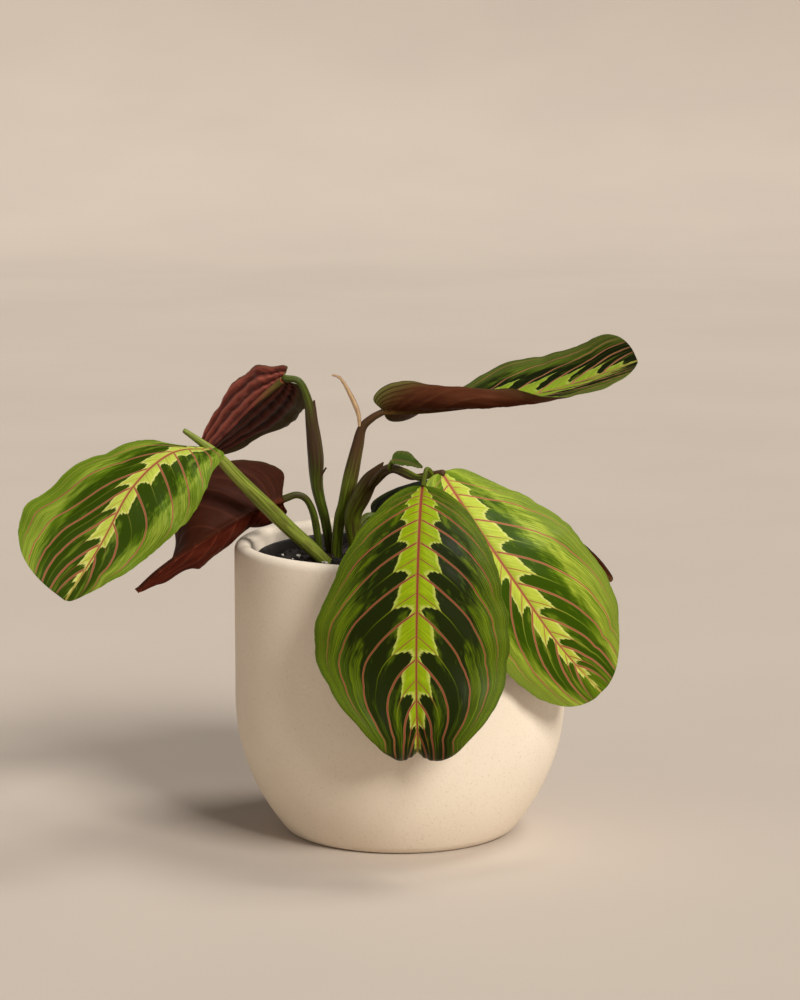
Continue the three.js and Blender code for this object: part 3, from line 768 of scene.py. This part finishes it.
# Each blade's own values, where a pair of lists gives each half its own.
# half: half width. lobe: how far the base reaches back. fold: angle of a half. bow: its bend.
# edge, curl: where the margin rolls, and how tightly. roll: twist along the midrib.
# veins: where the side veins start. sweep, reach: their bend and how far out they get.
LEAVES = {
    "front": dict(
        seed=1, face=(0, -0.5, 0.85),
        path=[(9, -66, 157), (8, -79, 148.5), (7, -88, 126.5), (6.5, -92, 99), (6.5, -93, 75), (7, -91, 58.5),
              (7, -84, 51.5), (7, -77, 54)],
        half=[[22, 32, 35, 37.5, 33, 4], [19, 30, 37, 42, 29, 8]], lobe=(2, 2),
        fold=[-5, -5, -5, -5, -5, -5, 8, 27, 32], bow=-0.006, edge=[1, 1, 1, 1, 0.85, 0.6],
        curl=[0, 0, 0, 0, -0.12, -0.25], wave=(4, 0.7), scallop=0.5),
    "right": dict(
        seed=2, face=(0.2, -0.6, 0.8), roll=[0, 20, 25],
        path=[(17, -50, 160), (29, -62, 143), (46.5, -66, 117.5), (65, -58, 90), (83, -44, 67.5)],
        half=[[22, 31, 33, 35, 33], [18, 24, 25, 26, 30]], lobe=(3, 3), fold=0, bow=-0.004, wave=(3, 0.8),
        sweep=(1.4, 1.1),
        veins=((0.01, 0.03, 0.095, 0.2, 0.33, 0.455, 0.6, 0.735, 0.84, 0.92, 0.97),
               (0.01, 0.05, 0.12, 0.22, 0.32, 0.43, 0.56, 0.71, 0.83, 0.92, 0.97))),
    "left": dict(
        seed=3, face=(0, -0.1, 1), roll=[0, -20, -38, -50],
        path=[(-77, -30, 167.5), (-93, -46, 167.5), (-108, -58, 155), (-120, -66, 133.5), (-134, -72, 111.5)],
        half=[[17, 26, 25, 18, 9], [9, 20, 28, 41, 55]], lobe=(3, 2), fold=-5,
        bow=[[-0.014, -0.014], [-0.006, -0.006]], wave=(4, 0.9), sweep=(0.75, 1.9), reach=(1.12, 0.98),
        notches=((), ((0.165, 0.5, 0.005), (0.19, 0.6, 0.005), (0.215, 0.6, 0.005), (0.243, 0.5, 0.005),
                      (0.27, 0.4, 0.005), (0.39, 1.3, 0.02))),
        veins=((0.02, 0.07, 0.14, 0.22, 0.31, 0.455, 0.63, 0.78, 0.89, 0.96),
               (0.01, 0.05, 0.1, 0.21, 0.35, 0.46, 0.58, 0.73, 0.85, 0.93, 0.98))),
    "upper_left": dict(
        seed=4, face=(0, 1, 0), path=[(-49.5, 8, 191), (-62, 22, 179), (-76, 44, 163), (-89.5, 66, 148)],
        half=[[8, 20, 22.5, 23, 21], [24, 26, 24, 17, 10]], lobe=(7, 4),
        fold=[[58, 52, 50, 50], [30, 40, 45]], bow=0.01, wave=(3, 0.8), quilt=0.3,
        pleats=((3.1, 0.4), (4.1, 0.8)), pleat_height=0.6),
    "low_left": dict(
        seed=5, face=(0, 1, 0.1),
        path=[(-49.5, 3, 140.5), (-63, -8, 137), (-84.5, -20, 125.5), (-100, -23, 115), (-109.5, -25, 106.5)],
        half=[[24, 27, 26, 18, 10], [22, 21, 19, 17, 13]], lobe=(8, 8),
        fold=[[10, 20, 30, 48, 95, 114, 112], [25, 20, 15, 15, 25, 38, 42]],
        bow=[[0.004, 0.004], [0.04, 0.065, 0.06, 0.045, 0.03, 0.015, 0.01]], wave=(4, 0.7)),
    "upper_right": dict(
        seed=6, face=(0, 0, 1),
        path=[(-7, 0, 178.5), (16.5, -3, 180), (46, -6, 184.5), (71.5, -9, 191.5), (98.5, -12, 201.5)],
        half=[[23, 30, 33, 31, 30, 38], [16, 30, 27, 30, 33]], lobe=(2, 8),
        fold=[[-35, -2, 13, 23, 25, 34, 56], [35, 12, 2, -3, -6, -10, -14]],
        edge=[[1, 1], [0, 0.25, 0.42, 0.6, 0.75, 0.7, 0.5]],
        curl=[[0, 0], [0.1, 0.19, 0.23, 0.27, 0.12, 0, 0]], sweep=(1.0, 2.0),
        veins=((-0.2, 0.0, 0.18, 0.33, 0.47, 0.6, 0.73, 0.86, 0.96), VEIN_STARTS),
        pleats=((6, 0), (9, 0)), pleat_height=0.1),
    "back_right": dict(
        seed=7, face=(0, -0.1, 1), roll=[0, -5, -15, -40],
        path=[(-12, 30, 129.5), (20, 34, 134), (50, 37, 133), (75, 40, 118), (93, 42, 99)],
        half=[[15, 18, 19, 19, 20], [18, 18, 15, 9, 7]], lobe=(3, 3), fold=[[45, 35, 0, -8, -8], [-4, -4]],
        bow=-0.006, wave=(3, 0.5)),
    "young": dict(
        seed=8, face=(0, -0.6, 0.5),
        path=[(-3.4, -38, 163.4), (0.6, -38.5, 163), (5, -39, 162), (9.2, -40, 160.6)],
        half=[[4.5, 4, 3.6, 1.8, 1], [2.5, 2, 1.5, 1.2, 1]], lobe=(0, 0), fold=[[15, 15], [20, 20]],
        bow=[[-0.03, -0.03], [0.01, 0.01]], quilt=0, nibbles=0.05, scallop=0.05),
}
BRACT = dict(
    seed=9, face=(0, -1, 0.1),
    path=[(-17, -0.7, 172.4), (-17.6, -0.3, 178), (-20.8, 1, 185.5), (-25, 2.5, 192.3), (-28.7, 4, 193.7)],
    half=[0.5, 0.75, 0.7, 0.45, 0.3], margin=(0.5, 0.3), lobe=(0, 0), fold=-30, quilt=0, nibbles=0.05,
    scallop=0.05)

dark_upper = leaf_upper(
    "dark_leaf_face",
    [(142, 164, 14), (196, 198, 104), (27, 35, 2), (56, 76, 6), (70, 86, 18), (132, 60, 46)],
    fade=0.72, streaks=0.65, patches=0.75)
# Lighter tones than the front leaf's: its own pattern, and partly painted light that this leaf catches and
# lets through
right_upper = leaf_upper(
    "pale_and_lit_leaf_face",
    [(186, 198, 70), (220, 216, 130), (50, 74, 0), (98, 124, 14), (112, 130, 44), (158, 84, 62)],
    fade=0.55, streaks=0.6, bare=0.04, glow=0.6, tip_dark=0.3)
# Lighter tones than the front leaf's: its own pattern, and partly painted light that this leaf catches and
# lets through
left_upper = leaf_upper(
    "green_and_lit_leaf_face",
    [(182, 192, 76), (214, 208, 130), (44, 62, 2), (82, 112, 10), (90, 114, 22), (146, 74, 56)],
    spread=0.8, streaks=0.4, bare=0.02, glow=0.35, thread_veins=0.35)
wide_upper = leaf_upper(
    "lengthwise_leaf_face",
    [(142, 166, 44), (180, 186, 90), (22, 28, 6), (70, 88, 18), (84, 92, 40), (158, 96, 74)],
    spread=1.75, fade=0.66, bare=0.0, thread_veins=0.3)
# The back right leaf's upper face: dark tones all over, painted shade for a leaf lying in the others' shadow
painted_shade_upper = leaf_upper(
    "painted_shade_leaf_face", [(84, 96, 24), (106, 110, 44), (12, 15, 2), (26, 34, 6), (32, 36, 14), (92, 50, 38)],
    fade=0.9, bare=-1.0, patches=0.3)
young_upper = leaf_upper(
    "young_leaf_face", [(66, 86, 20), (76, 90, 34), (42, 58, 10), (54, 74, 14), (80, 84, 34), (80, 72, 32)],
    spread=0.5, fade=0.3)
wine_under = leaf_under("wine_red_underside", [(84, 30, 20), (136, 74, 52), (120, 100, 56), (92, 84, 40)])
# The upper-left leaf's underside: painted light on its pleats' crests, painted shade in their valleys and
# over its second half
pleated_under = leaf_under(
    "pleated_underside", [(96, 36, 26), (200, 110, 92), (112, 104, 50), (80, 68, 42)],
    bands=0.0, rib_reach=0.3, edge_from=0.86, edge_lean=0.28, dim=(0.0, 0.72), crests=0.6)
# The low left leaf's underside: painted shade over most of its first half and a little of its second
deep_under = leaf_under(
    "deep_red_underside", [(76, 24, 12), (116, 52, 34), (76, 34, 18), (80, 70, 40)],
    bands=0.6, rib_reach=0.3, edge_from=0.93, dim=(0.66, 0.12), shade=tone(36, 24, 12))
brown_under = leaf_under(
    "brown_red_underside", [(76, 36, 20), (108, 64, 38), (84, 60, 26), (84, 58, 34)],
    bands=0.35, rib_reach=0.6, base=[(98, 96, 46), (48, 42, 20)])
young_under = leaf_under("young_leaf_underside", [(66, 78, 26), (84, 92, 40), (96, 104, 48), (84, 60, 30)])
papery = dried()

for side, upper, under in (
        ("front", dark_upper, wine_under), ("right", right_upper, wine_under),
        ("left", left_upper, wine_under), ("upper_left", dark_upper, pleated_under),
        ("low_left", dark_upper, deep_under), ("upper_right", wide_upper, brown_under),
        ("back_right", painted_shade_upper, wine_under)):
    blade(side + "_blade", "leaf_" + side, LEAVES[side], upper, under)
blade("young_blade", "leaf_young", LEAVES["young"], young_upper, young_under, rows=SMALL_ROWS, columns=10)
blade("papery_bract", "bract_dry", BRACT, papery, papery, rows=SMALL_ROWS, columns=8, slot="dried_bract")

light_stalk = stalk_finish("light_green_stalk", (138, 148, 58), (92, 104, 30), (74, 44, 28), 0.35)
green_stalk = stalk_finish("green_stalk", (108, 124, 28), (66, 74, 12), (78, 54, 32))
dark_stalk = stalk_finish("dark_stalk", (80, 94, 22), (46, 52, 8), (64, 42, 27))
# Shoots: the piece, its finish and its tubes, each with a path, radii, and how brown it is from foot to tip
SHOOTS = {
    "stalk_left": ("left_petiole", light_stalk, [
        ([(-23.5, 4, 96), (-25.5, 2.5, 107.5), (-50.5, -10, 134.5), (-66.5, -22, 153), (-75.5, -28, 164),
          (-81.5, -28, 169), (-88.5, -28, 174)],
         [2.3, 2.5, 3.2, 2.7, 2.2, 1.6, 1.1], [0.1, 0, 0, 0, 0, 0, 0.1]),
    ]),
    "stem_back_left": ("back_left_stem", dark_stalk, [
        ([(-29, 17.5, 96), (-29.5, 17, 113), (-32, 15.5, 130), (-35.3, 13.5, 144.5), (-35.8, 12, 158),
          (-37.2, 10.7, 171), (-39, 9.2, 182.5), (-42.5, 8, 190.3), (-48.6, 7.8, 191.8)],
         [2, 2, 2.1, 2.6, 3.4, 2.8, 1.8, 1.5, 1.5], [0.7, 0.6, 0.5, 0.1, 0.3, 0.55, 0.65, 0.4, 0.2]),
        ([(-36, 12, 158), (-36.5, 11, 168), (-36.7, 10, 176), (-36.3, 9.5, 182)], [2.8, 2.4, 1.6, 0.4],
         [0.2, 0.4, 0.6, 0.9]),
        ([(-36, 12, 149), (-33.5, 11.5, 150), (-31.5, 11, 153)], [1, 0.5, 0.4], [0.5, 0.8, 1]),
    ]),
    "stalk_low_left": ("low_left_petiole", dark_stalk, [
        ([(-34.5, 10, 96), (-34, 9.5, 112), (-36, 8, 130.5), (-39, 6, 139.5), (-43.5, 4, 142.5),
          (-49, 3, 141)], [1.6, 1.6, 1.6, 1.5, 1.5, 1.6], [0.3, 0.2, 0.1, 0.2, 0.4, 0.4]),
    ]),
    "stem_middle": ("middle_stem", green_stalk, [
        ([(-26.8, 11, 96), (-27.3, 10.8, 112), (-25.8, 9, 130.5), (-23.5, 7.5, 138), (-21.1, 5, 149),
          (-18, 3, 163), (-15.9, 1.4, 171.5), (-11.6, 0.5, 175.9), (-7.4, 0, 178.3)],
         [2.3, 2.3, 2.4, 2.9, 3.2, 2.6, 1.9, 1.6, 1.4], [0.2, 0, 0, 0, 0.2, 0.4, 0.6, 0.8, 0.8]),
    ]),
    "shoot_front": ("front_shoot", green_stalk, [
        ([(-15.5, 6, 96), (-17, 5, 112), (-20, 2, 132), (-16, -3, 143.5), (-12.5, -9, 151), (-9, -15, 156.5),
          (-7, -18, 159.5)], [2.8, 3, 3.6, 4, 3.3, 1.6, 0.3], [0.5, 0.4, 0.4, 0.4, 0.5, 0.6, 0.9]),
        ([(-16, -2, 141.5), (-11, -14, 151.5), (-5.1, -27, 158.7), (1.9, -41, 159.1), (7.9, -54, 158.3),
          (12.5, -61, 161), (10.6, -65.5, 163.5), (9.4, -66.4, 157.6)],
         [1.3, 1.3, 1.4, 1.4, 1.2, 1, 0.9, 0.9], [0.7, 0.7, 0.7, 0.7, 0.5, 0, 0, 0]),
        ([(-15.5, -1, 142), (-10, -13, 150.5), (-3.5, -28, 157.8), (4.7, -40, 156.7), (12.8, -48, 158.9),
          (17.2, -50.3, 159.9)], [1.4, 1.3, 1.3, 1.3, 1.3, 1.4], [0.7, 0.7, 0.7, 0.8, 0.8, 0.8]),
        ([(-4, -36, 159.5), (-4.2, -37.5, 161), (-3.2, -38, 162.8)], [1, 0.9, 0.9], [0.3, 0.1, 0]),
    ]),
    "stalk_back_right": ("back_right_petiole", dark_stalk, [
        ([(-22, 19, 96), (-21.5, 19.5, 112), (-19, 24, 124), (-15, 28.5, 129), (-11.6, 30, 129.5)],
         [1.6, 1.6, 1.6, 1.5, 1.5], [0.4, 0.3, 0.2, 0.2, 0.2]),
    ]),
}
for node, (name, finish, tubes) in SHOOTS.items():
    parts, streaks, ages = [], [], []
    for seed, (path, radii, age) in enumerate(tubes):
        part, coordinates = tube(path, radii, seed)
        parts.append(part)
        streaks.append(coordinates)
        ages.append(spline(age, coordinates["along"] / coordinates["along"].max()))
    vertices, faces = joined(parts)
    layers = {key: np.concatenate([s[key] for s in streaks]) for key in streaks[0]}
    layers["age"] = np.clip(np.concatenate(ages), 0, 1)
    add_piece(name, vertices, faces, [finish], "stalk", node, attributes=layers)


# Pots

def pot_radius(z):
    rise = (1 - np.minimum(z / POT_SHOULDER_Z, 1)) ** BELLY_POWER
    return POT_FOOT_RADIUS + (POT_RADIUS - POT_FOOT_RADIUS) * (1 - rise)


def cachepot():
    foot = POT_FOOT_RADIUS
    profile = [(0, 0), (foot - 2.2, 0), (foot - 1.2, 0.15), (foot - 0.4, 0.6)]
    profile += [(pot_radius(z), z) for z in np.linspace(1.4, POT_SHOULDER_Z, 26)]
    lip = POT_WALL / 2
    crest = POT_RADIUS - lip
    profile += [(POT_RADIUS, z) for z in np.linspace(70, POT_HEIGHT - lip - 6, 6)]
    profile += [(crest + lip * math.cos(a), POT_HEIGHT - lip + lip * math.sin(a))
                for a in np.linspace(0, np.pi, 15)]
    profile += [(pot_radius(z) - POT_WALL, z) for z in np.linspace(POT_SHOULDER_Z + 40, 13, 24)]
    floor = pot_radius(POT_FLOOR) - POT_WALL
    profile += [(floor - 1.2, POT_FLOOR + 2), (floor - 4, POT_FLOOR), (floor - 14, POT_FLOOR), (0, POT_FLOOR)]
    vertices, faces = turned(profile, POT_SEGMENTS)
    add_piece("rounded_cachepot", vertices, faces, [stoneware()], "stoneware", "cachepot", sharp=60)


def nursery_pot():
    base = POT_FLOOR + SEAT_GAP
    foot, rim, height = LINER_FOOT_RADIUS, LINER_RIM_RADIUS, LINER_RIM_Z
    lip_base = height - LINER_LIP_HEIGHT
    top = rim - LINER_LIP
    profile = [(0, base), (foot - 1, base), (foot, base + 1)]
    profile += [(foot + (top - foot) * t, base + 1 + (lip_base - base - 1) * t)
                for t in np.linspace(0.1, 1, 10)]
    profile += [(rim - 0.4, lip_base), (rim, lip_base + 0.5), (rim, height - 0.8), (rim - 0.3, height - 0.2),
                (rim - 0.8, height), (top + 0.5, height), (top, height - 0.3), (top - 0.2, height - 1),
                (top - LINER_WALL, lip_base), (foot - LINER_WALL, base + LINER_WALL), (0, base + LINER_WALL)]
    vertices, faces = turned(profile, LINER_SEGMENTS)
    pot = add_piece("moulded_nursery_pot", vertices, faces, [plastic()], "black_plastic", "nursery_pot")
    pins = []
    for i in range(DRAIN_HOLES):
        a = 2 * np.pi * i / DRAIN_HOLES
        pin = [(0, base - 2), (DRAIN_HOLE_RADIUS, base - 2), (DRAIN_HOLE_RADIUS, base + 5), (0, base + 5)]
        vertices, faces = turned(pin, PIN_SEGMENTS)
        pins.append((vertices + DRAIN_HOLE_CIRCLE * np.array([np.cos(a), np.sin(a), 0]), faces))
    cutter = add_piece("drain_holes", *joined(pins), [])
    holes = pot.modifiers.new("holes", "BOOLEAN")
    holes.object = cutter
    holes.operation = "DIFFERENCE"
    holes.solver = "EXACT"
    bpy.context.view_layer.update()
    cut = bpy.data.meshes.new_from_object(pot.evaluated_get(bpy.context.evaluated_depsgraph_get()))
    pot.modifiers.clear()
    pot.data = cut
    bpy.data.objects.remove(cutter)


# Soil

SOIL_SEED = 41
SOIL_SEGMENTS = 128
SOIL_RINGS = 46
CRUMBS = 820
BARK_SHARE = 0.16
PERLITE_GRAINS = 64
EARTH, PERLITE, BARK = 0, 1, 2
# Grains that lie in view: place and size
SEEN_PERLITE = ((-43.3, 20, 1.3), (-45.1, 7.5, 0.9), (-38.5, 7.5, 0.7), (-50.5, 20, 0.6), (-46, 14, 0.6))


def icosphere(subdivisions):
    made = bmesh.new()
    bmesh.ops.create_icosphere(made, subdivisions=subdivisions, radius=1)
    vertices = np.array([v.co[:] for v in made.verts])
    faces = [[v.index for v in f.verts] for f in made.faces]
    made.free()
    return vertices, faces


def soil_height(x, y):
    bumps = np.sin(x * 0.31 + 1.3) * np.cos(y * 0.27) + np.sin(x * 0.13 - y * 0.17)
    p = np.stack([x, y, x * 0], -1)
    return SOIL_TOP_Z + 0.5 * bumps + 1.1 * rough(p, 7, 4, 3)


def soil():
    random = np.random.default_rng(SOIL_SEED)
    base = POT_FLOOR + SEAT_GAP + LINER_WALL + SEAT_GAP
    top_radius = LINER_RIM_RADIUS - LINER_LIP - LINER_WALL - 0.5
    foot = LINER_FOOT_RADIUS - LINER_WALL - 0.5
    radii = np.concatenate([np.linspace(top_radius - 0.5, 2, SOIL_RINGS), [0]])
    profile = [(0, base), (foot, base)]
    profile += [(foot + (top_radius - foot) * t, base + (SOIL_TOP_Z - 3 - base) * t)
                for t in (0.3, 0.6, 0.9, 1)]
    profile += [(r, SOIL_TOP_Z) for r in radii]
    vertices, faces = turned(profile, SOIL_SEGMENTS)
    top = vertices[:, 2] > SOIL_TOP_Z - 0.1
    vertices[top, 2] = soil_height(vertices[top, 0], vertices[top, 1])
    parts = [(vertices, faces)]
    kinds = [EARTH] * len(faces)

    def spot(reach):
        r = reach * math.sqrt(random.uniform())
        a = random.uniform(0, 2 * np.pi)
        return r * math.cos(a), r * math.sin(a)

    def drop(shape, loops, x, y, size, lift, squash, jag, seed, kind):
        """A jagged grain on the soil, squashed and turned at random."""
        z = float(soil_height(x, y)) + lift * size
        turn = np.linalg.qr(random.normal(size=(3, 3)))[0]
        shape = shape * (1 + jag * noise(shape * 1.7 + seed, seed))[:, None]
        shape = (shape * np.array([1, squash, squash * random.uniform(0.7, 1)])) @ turn
        if np.linalg.det(turn) < 0:
            loops = [loop[::-1] for loop in loops]
        parts.append((shape * size + (x, y, z), loops))
        kinds.extend([kind] * len(loops))

    coarse, fine = icosphere(1), icosphere(2)
    for seed in range(CRUMBS):
        x, y = spot(top_radius - 1.5)
        size = 0.7 + 1.7 * random.uniform() ** 2.2
        kind, squash = (EARTH, 0.75) if random.uniform() > BARK_SHARE else (BARK, 0.4)
        drop(*coarse, x, y, size, 0.25, squash, 0.45, seed, kind)
    for seed in range(PERLITE_GRAINS):
        x, y = spot(top_radius - 2)
        size = 0.6 + random.uniform()
        if seed < len(SEEN_PERLITE):
            x, y, size = SEEN_PERLITE[seed]
        drop(*fine, x, y, size, 0.7, 0.8, 0.5, seed, PERLITE)
    vertices, faces = joined(parts)
    earth = grains("dark_potting_soil", (46, 34, 27), (12, 8, 6), 900.0)
    perlite = grains("white_perlite", (238, 232, 220), (188, 178, 160), 1400.0)
    bark = grains("soil_bark", (74, 50, 33), (26, 17, 12), 700.0)
    add_piece("crumbly_soil", vertices, faces, [earth, perlite, bark], "soil", "soil", kinds, sharp=40)


cachepot()
nursery_pot()
soil()


# Stage, lights and camera

FLOOR_FLAT = 3.0
FLOOR_RISE = 2.5
FLOOR_SEGMENTS = 96
WARM_WHITE = (1.0, 0.97, 0.93)
SKY_TONE = (1.0, 0.975, 0.945, 1)
SKY_STRENGTH = 0.1


def studio_floor():
    """A pale floor that rises in a wide curve on all sides."""
    profile = [(0, 0), (0.5, 0), (1.2, 0), (FLOOR_FLAT, 0)]
    profile += [(FLOOR_FLAT + FLOOR_RISE * math.sin(a), FLOOR_RISE - FLOOR_RISE * math.cos(a))
                for a in np.linspace(0.06, 1.0, 16)]
    vertices, faces = turned(profile, FLOOR_SEGMENTS)
    f = Finish("pale_floor", roughness=0.9)
    grain = f.noise(f.place(), 3.0, 3.0)
    paint = f.mix(f.step(grain, 0.3, 0.7), tone(191, 178, 165), tone(195, 182, 168))
    height = f.node("ShaderNodeSeparateXYZ", "Z", {0: f.place()})
    f.colour(f.mix(f.step(height, -0.02, 0.4, 0.0, 0.3), paint, tone(120, 108, 96)))
    floor = add_piece("studio_floor", vertices / MM, faces, [f.material])


def sun_light(name, towards, angle, strength, colour):
    """A wide soft light from far away; towards points from the plant to the light."""
    data = bpy.data.lights.new(name, "SUN")
    data.angle = math.radians(angle)
    data.energy = strength
    data.color = colour
    light = bpy.data.objects.new(name, data)
    bpy.context.scene.collection.objects.link(light)
    x, y, z = towards
    light.rotation_euler = (math.atan2(math.hypot(x, y), z), 0, math.atan2(y, x) + math.pi / 2)


studio_floor()
sun_light("key_light", (0.48, -0.67, 0.57), 20, 3.15, WARM_WHITE)
sun_light("top_light", (0.42, 0.14, 0.9), 22, 1.35, WARM_WHITE)
sun_light("fill_light", (-0.62, -0.77, 0.12), 80, 0.8, (1.0, 0.975, 0.95))

world = bpy.data.worlds.new("studio")
bpy.context.scene.world = world
world.use_nodes = True
sky = world.node_tree.nodes["Background"]
sky.inputs["Color"].default_value = SKY_TONE
sky.inputs["Strength"].default_value = SKY_STRENGTH

camera_data = bpy.data.cameras.new("camera")
camera_data.lens = CAMERA_LENS
camera_data.sensor_width = CAMERA_SENSOR
camera = bpy.data.objects.new("camera", camera_data)
bpy.context.scene.collection.objects.link(camera)
camera.location = CAMERA_PLACE
camera.rotation_euler = (math.radians(90 - CAMERA_PITCH), 0, 0)
bpy.context.scene.camera = camera
bpy.context.scene.view_settings.view_transform = "Standard"

# Bring the scene up to date
bpy.context.view_layer.update()
